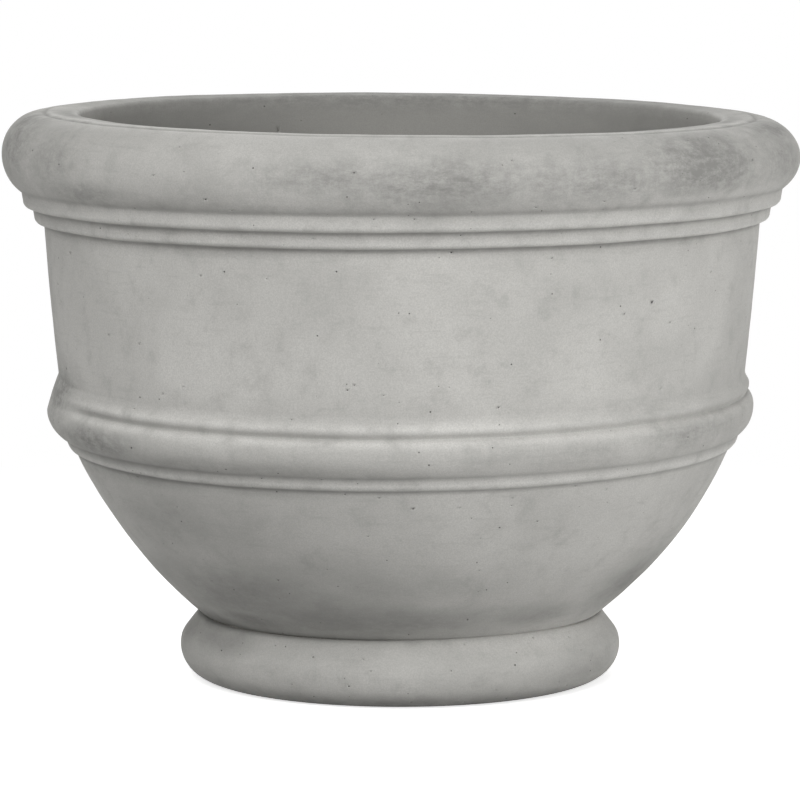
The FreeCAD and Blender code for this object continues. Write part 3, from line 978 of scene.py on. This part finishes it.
def cast_stone(name, colours, cloud_scale):
    """Fine pale cast stone: clouds, smudges, level streaks, stains, painted shade low down and inside, dirt
    and painted shade in creases, rubbed edges with painted light, holes.
    """
    finish = Finish(name)
    tree = finish.tree
    mottle = finish.effect("mottle", Cloud_Scale=cloud_scale, Grain_Scale=760.0)
    streaks = finish.effect("streaks", Fineness=1.0)
    holes = finish.effect("pinholes", Cells=110.0, Hole_Size=0.09, Bare_Share=0.68)["Holes"]
    creases = finish.settled("recess", Breakup_Scale=90.0, Patchiness=0.15, Depth=0.38)
    weather = finish.settled("stain", Breakup_Scale=80.0, Patchiness=0.45, Depth=0.75)
    shade = finish.settled("shade", Breakup_Scale=24.0, Patchiness=0.2, Depth=0.75)
    smudged = spread(tree, mottle["Smudges"], 0.50, 0.78, to_high=0.28)
    lines = spread(tree, streaks["Level"], 0.52, 0.80, to_high=0.20)
    falling = spread(tree, streaks["Falling"], 0.45, 0.75, to_high=0.3)
    grains = spread(tree, mottle["Grain"], CLOUD_LOW, CLOUD_HIGH, to_low=0.02, to_high=0.34)
    rubbed = reckon(tree, "MULTIPLY", finish.attribute("worn"), spread(tree, mottle["Smudges"], 0.9, 0.3))
    sunk = reckon(tree, "MAXIMUM", holes, finish.attribute("pit"))
    rub_and_light_depth, hole_depth, grain_rise = 0.9, 0.85, 0.30
    layers = (
        (smudged, colours.stone_stain_and_shade),
        (lines, colours.stone_stain_and_shade),
        (reckon(tree, "MULTIPLY", falling, finish.attribute("stain")), colours.stone_stain_and_shade),
        # Painted shade inside the pot.
        (finish.attribute("inside"), colours.stone_inside_shade),
        (weather, colours.stone_stain_and_shade),
        # Smooth painted shade low on the pot and inside it.
        (shade, colours.stone_stain_and_shade),
        # Wear, with painted light on upward faces and the lit right side.
        (reckon(tree, "MULTIPLY", rubbed, rub_and_light_depth), colours.stone_worn_and_lit),
        # Dirt and painted shade in the creases.
        (creases, colours.stone_dirt_and_shade),
        (grains, colours.stone_stain_and_shade),
        (reckon(tree, "MULTIPLY", sunk, hole_depth), colours.stone_hole),
    )
    base = tint(tree, spread(tree, mottle["Clouds"], 0.30, 0.72), colours.stone_deep, colours.stone_pale)
    for mask, laid_colour in layers:
        base = tint(tree, mask, base, laid_colour)
    height = reckon(tree, "SUBTRACT", reckon(tree, "MULTIPLY", mottle["Grain"], grain_rise), holes)
    finish.shader.inputs["Specular IOR Level"].default_value = 0.3
    return finish.dress(base, mottle["Smudges"], rough=(0.80, 0.95), height=height, depth=0.5 * MM)


def setting_mortar(colours):
    """Sandy mortar, darker than the stone, with pale grains."""
    finish = Finish("setting_mortar")
    mottle = finish.effect("mottle", Cloud_Scale=20.0, Grain_Scale=900.0)
    holes = finish.effect("pinholes", Cells=260.0, Hole_Size=0.2, Bare_Share=0.7)["Holes"]
    sand = spread(finish.tree, mottle["Grain"], 0.45, 0.7)
    base = tint(finish.tree, sand, colours.mortar, colours.mortar_sand)
    # Painted shade in the mortar's holes.
    base = tint(finish.tree, holes, base, colours.stone_dirt_and_shade)
    finish.shader.inputs["Specular IOR Level"].default_value = 0.25
    return finish.dress(base, mottle["Clouds"], rough=(0.85, 0.98), height=mottle["Grain"], depth=0.4 * MM)


def galvanised_steel(colours):
    """Zinc-coated bar: dull crystals, with lime from the stone around it."""
    finish = Finish("galvanised_steel")
    tree = finish.tree
    mottle = finish.effect("mottle", Cloud_Scale=60.0, Grain_Scale=700.0)
    crystals = add_node(tree, "ShaderNodeTexVoronoi", {"Vector": finish.vector, "Scale": 160.0})
    lot = add_node(tree, "ShaderNodeSeparateColor", {"Color": crystals.outputs["Color"]})
    base = tint(tree, lot.outputs["Red"], colours.zinc_deep, colours.zinc_pale)
    lime = spread(tree, mottle["Smudges"], 0.5, 0.75, to_high=0.7)
    base = tint(tree, lime, base, colours.stone_pale)
    tree.links.new(reckon(tree, "SUBTRACT", 1.0, lime), finish.shader.inputs["Metallic"])
    return finish.dress(base, mottle["Clouds"], rough=(0.38, 0.62), height=mottle["Grain"], depth=0.1 * MM)


def drawn_steel(colours):
    """Stainless dowel bar, with fine drawn lines along its length."""
    finish = Finish("drawn_steel")
    lines = finish.effect("streaks", Fineness=6.0)["Falling"]
    mottle = finish.effect("mottle", Cloud_Scale=80.0, Grain_Scale=900.0)
    base = tint(finish.tree, lines, colours.steel_deep, colours.steel_pale)
    finish.shader.inputs["Metallic"].default_value = 1.0
    return finish.dress(base, mottle["Smudges"], rough=(0.26, 0.44), height=lines, depth=0.05 * MM)


def moulded_plastic(colours):
    """Grey moulded plastic with a fine spark grain, chalky with lime in patches."""
    finish = Finish("moulded_plastic")
    mottle = finish.effect("mottle", Cloud_Scale=35.0, Grain_Scale=1500.0)
    chalk = spread(finish.tree, mottle["Smudges"], 0.45, 0.72, to_high=0.55)
    base = tint(finish.tree, chalk, colours.plastic, colours.plastic_chalk)
    return finish.dress(base, mottle["Clouds"], rough=(0.45, 0.68), height=mottle["Grain"], depth=0.08 * MM)


def moulded_rubber(colours):
    """Black rubber, dull, with dust that lies in clouds."""
    finish = Finish("moulded_rubber")
    mottle = finish.effect("mottle", Cloud_Scale=45.0, Grain_Scale=1200.0)
    dust = spread(finish.tree, mottle["Smudges"], 0.45, 0.75, to_high=0.5)
    base = tint(finish.tree, dust, colours.rubber, colours.rubber_dust)
    return finish.dress(base, mottle["Clouds"], rough=(0.55, 0.8), height=mottle["Grain"], depth=0.12 * MM)


def outwardness(face, middle):
    """Above 0 where a face looks away from the pot's axis, below 0 where it looks towards it."""
    return face.normal.x * middle.x + face.normal.y * middle.y


def coat_nodes(names, material):
    """Give solids of the frame a finish of their own."""
    for name in names:
        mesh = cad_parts[name].data
        mesh.materials.clear()
        mesh.materials.append(material)


class POT_OT_cast_bowl(bpy.types.Operator):
    """Model the bowl casting and finish it as cast stone"""

    bl_idname = "flower_pot.cast_bowl"
    bl_label = "Cast the bowl"

    def execute(self, context):
        sizes, marks = context.scene.bowl_sizes, context.scene.casting_marks
        at = BowlHeights(sizes)
        bm = draw_bowl(sizes, marks)
        wear_left_of_band(bm, sizes)
        lay_stains_and_painted_light(bm)
        note_inside_shade(bm, at.crest_radius - sizes.lip_groove_width, at.lip)
        chooser = random.Random(BOWL_SEED)
        recess = bm.verts.layers.float["recess"]
        highest, lowest = at.crest - 4 * MM, at.base + 1 * MM
        above_drain = SLEEVE_HIGH.z + 10 * MM
        crease_pull, belly_pull = 8.0, 3.0

        def outside(face):
            middle = face.calc_center_median()
            if outwardness(face, middle) < 0 or middle.z > highest or middle.z < lowest:
                return 0.0
            in_crease = sum(vert[recess] for vert in face.verts) / len(face.verts)
            front_belly = smooth_step(PITTED_REACH, PITTED_CORE, (middle - PITTED_BELLY).length)
            return 1.0 + crease_pull * in_crease + belly_pull * front_belly

        def inside(face):
            middle = face.calc_center_median()
            return 1.0 if outwardness(face, middle) < 0 and middle.z > above_drain else 0.0

        sink_pits(bm, chooser, marks.outer_pits, outside, marks)
        sink_pits(bm, chooser, marks.inner_pits, inside, marks)
        lean_by_hand(bm, sizes)
        ripple(bm, marks, at.base)
        stone = cast_stone("bowl_stone", context.scene.finish_colours, cloud_scale=8.0)
        finish_piece(bm, "bowl_casting", "pot", "cast_stone", stone, "bowl")
        return {"FINISHED"}


class POT_OT_cast_foot(bpy.types.Operator):
    """Model the foot casting and finish it as cast stone"""

    bl_idname = "flower_pot.cast_foot"
    bl_label = "Cast the foot"

    def execute(self, context):
        sizes, marks = context.scene.foot_sizes, context.scene.casting_marks
        bm = draw_foot(sizes, marks)
        lay_stains_and_painted_light(bm)
        lowest = 2 * MM

        def side(face):
            middle = face.calc_center_median()
            return 1.0 if outwardness(face, middle) > 0 and middle.z > lowest else 0.0

        sink_pits(bm, random.Random(FOOT_SEED), marks.foot_pits, side, marks)
        stone = cast_stone("foot_stone", context.scene.finish_colours, cloud_scale=9.0)
        finish_piece(bm, "foot_casting", "pot", "cast_stone", stone, "pedestal_foot")
        return {"FINISHED"}


class POT_OT_bed_mortar(bpy.types.Operator):
    """Model the mortar joint between foot and bowl"""

    bl_idname = "flower_pot.bed_mortar"
    bl_label = "Bed the bowl in mortar"

    def execute(self, context):
        bm = draw_mortar(context.scene.foot_sizes, context.scene.casting_marks)
        mortar = setting_mortar(context.scene.finish_colours)
        finish_piece(bm, "joint_mortar", "pot", "mortar", mortar, "setting_bed")
        return {"FINISHED"}


class POT_OT_coat_steel(bpy.types.Operator):
    """Finish the hoops, the ribs and the dowels that lie in the stone"""

    bl_idname = "flower_pot.coat_steel"
    bl_label = "Coat the steel"

    def execute(self, context):
        colours = context.scene.finish_colours
        coat_nodes(HOOPS + RIBS, galvanised_steel(colours))
        coat_nodes(["locating_dowels"], drawn_steel(colours))
        return {"FINISHED"}


class POT_OT_fit_drain(bpy.types.Operator):
    """Finish the drain's sleeve, strainer and plug"""

    bl_idname = "flower_pot.fit_drain"
    bl_label = "Fit the drain"

    def execute(self, context):
        colours = context.scene.finish_colours
        coat_nodes(["drain_sleeve", "drain_strainer"], moulded_plastic(colours))
        coat_nodes(["drain_plug"], moulded_rubber(colours))
        return {"FINISHED"}


def seen_directly(tree):
    """1 for a ray from the camera, from a gloss or through glass, and 0 for light on its way."""
    path = add_node(tree, "ShaderNodeLightPath").outputs
    mirrored = reckon(tree, "MAXIMUM", path["Is Glossy Ray"], path["Is Transmission Ray"])
    return reckon(tree, "MAXIMUM", path["Is Camera Ray"], mirrored)


def light_world(scene, sky_light):
    """White to look at, and an even light of its own strength on the pot."""
    world = bpy.data.worlds.new("studio")
    world.use_nodes = True
    tree = world.node_tree
    tree.nodes.clear()
    light = add_node(tree, "ShaderNodeBackground", {"Color": WHITE, "Strength": sky_light})
    seen = add_node(tree, "ShaderNodeBackground", {"Color": WHITE, "Strength": 1.0})
    sides = {0: seen_directly(tree), 1: light.outputs[0], 2: seen.outputs[0]}
    mix = add_node(tree, "ShaderNodeMixShader", sides)
    add_node(tree, "ShaderNodeOutputWorld", {"Surface": mix.outputs[0]})
    scene.world = world


def lay_floor(colours, glow):
    """A pale floor, white to look at except where the pot's shadow falls."""
    shadow_reach, white_reach = 0.6, 1.6
    bm = bmesh.new()
    bmesh.ops.create_circle(bm, cap_ends=True, radius=9.0, segments=96)
    mesh = bpy.data.meshes.new("studio_floor")
    bm.to_mesh(mesh)
    bm.free()
    material = bpy.data.materials.new("studio_floor")
    material.use_nodes = True
    tree = material.node_tree
    tree.nodes.clear()
    plain = add_node(tree, "ShaderNodeBsdfDiffuse", {"Color": solid(colours.floor)})
    shaded = add_node(tree, "ShaderNodeBsdfDiffuse", {"Color": WHITE})
    lift = add_node(tree, "ShaderNodeEmission", {"Color": WHITE, "Strength": glow})
    near = add_node(tree, "ShaderNodeAddShader", {0: shaded.outputs[0], 1: lift.outputs[0]})
    far = add_node(tree, "ShaderNodeEmission", {"Color": WHITE, "Strength": 1.0})
    place = add_node(tree, "ShaderNodeTexCoord").outputs["Object"]
    reach = add_node(tree, "ShaderNodeVectorMath", {0: place}, operation="LENGTH").outputs["Value"]
    away = spread(tree, reach, shadow_reach, white_reach)
    look = add_node(tree, "ShaderNodeMixShader", {0: away, 1: near.outputs[0], 2: far.outputs[0]})
    sides = {0: seen_directly(tree), 1: plain.outputs[0], 2: look.outputs[0]}
    mix = add_node(tree, "ShaderNodeMixShader", sides)
    add_node(tree, "ShaderNodeOutputMaterial", {"Surface": mix.outputs[0]})
    mesh.materials.append(material)
    floor = bpy.data.objects.new("studio_floor", mesh)
    bpy.context.scene.collection.objects.link(floor)


def hang_lamp(name, power, width, place, target):
    """A soft square lamp that faces a point."""
    lamp = bpy.data.lights.new(name, "AREA")
    lamp.energy = power
    lamp.size = width
    holder = bpy.data.objects.new(name, lamp)
    holder.location = place
    holder.rotation_euler = (Vector(target) - Vector(place)).to_track_quat("-Z", "Y").to_euler()
    bpy.context.scene.collection.objects.link(holder)


class POT_OT_set_stage(bpy.types.Operator):
    """Lay the floor, hang the lamps, and set up the camera as the photograph was taken"""

    bl_idname = "flower_pot.set_stage"
    bl_label = "Set the stage"

    def execute(self, context):
        scene, studio = context.scene, context.scene.studio_setup
        light_world(scene, studio.sky_light)
        lay_floor(scene.finish_colours, studio.floor_glow)
        middle = (0.0, 0.0, 0.3)
        hang_lamp("front_lamp", studio.front_power, width=2.2, place=(-0.6, -3.2, 2.8), target=middle)
        hang_lamp("right_lamp", studio.right_power, width=0.7, place=(2.6, -1.7, 0.35), target=middle)
        hang_lamp("left_lamp", studio.left_power, width=2.2, place=(-3.2, -1.6, 1.9), target=middle)
        hang_lamp("back_lamp", studio.back_power, width=2.2, place=(0.3, 3.2, 2.6), target=middle)
        lens = bpy.data.cameras.new("photo_camera")
        lens.lens = studio.camera_lens
        lens.sensor_width = 36.0
        camera = bpy.data.objects.new("photo_camera", lens)
        camera.location = (0.0, -studio.camera_distance, studio.camera_height)
        camera.rotation_euler = (math.pi / 2 - studio.camera_tilt, 0.0, 0.0)
        scene.collection.objects.link(camera)
        scene.camera = camera
        scene.view_settings.view_transform = "Standard"
        return {"FINISHED"}


OPERATORS = (
    POT_OT_cast_bowl,
    POT_OT_cast_foot,
    POT_OT_bed_mortar,
    POT_OT_coat_steel,
    POT_OT_fit_drain,
    POT_OT_set_stage,
)

SETTINGS = {
    "bowl_sizes": BowlSizes,
    "foot_sizes": FootSizes,
    "casting_marks": CastingMarks,
    "finish_colours": FinishColours,
    "studio_setup": StudioSetup,
}


class POT_PT_sidebar(bpy.types.Panel):
    """Lists the steps and the settings of the flower pot"""

    bl_idname = "POT_PT_sidebar"
    bl_label = "Flower Pot"
    bl_space_type = "VIEW_3D"
    bl_region_type = "UI"
    bl_category = "Flower Pot"

    def draw(self, context):
        for operator in OPERATORS:
            self.layout.operator(operator.bl_idname)
        for name, group in SETTINGS.items():
            column = self.layout.box().column()
            for setting in group.__annotations__:
                column.prop(getattr(context.scene, name), setting)


def register():
    for group in SETTINGS.values():
        bpy.utils.register_class(group)
    for name, group in SETTINGS.items():
        setattr(bpy.types.Scene, name, PointerProperty(type=group))
    for cls in (*OPERATORS, POT_PT_sidebar):
        bpy.utils.register_class(cls)


def unregister():
    for cls in (POT_PT_sidebar, *reversed(OPERATORS)):
        bpy.utils.unregister_class(cls)
    for name, group in SETTINGS.items():
        delattr(bpy.types.Scene, name)
        bpy.utils.unregister_class(group)


def main():
    register()
    bpy.ops.flower_pot.cast_bowl()
    bpy.ops.flower_pot.cast_foot()
    bpy.ops.flower_pot.bed_mortar()
    bpy.ops.flower_pot.coat_steel()
    bpy.ops.flower_pot.fit_drain()
    bpy.ops.flower_pot.set_stage()


if __name__ == "__main__":
    main()
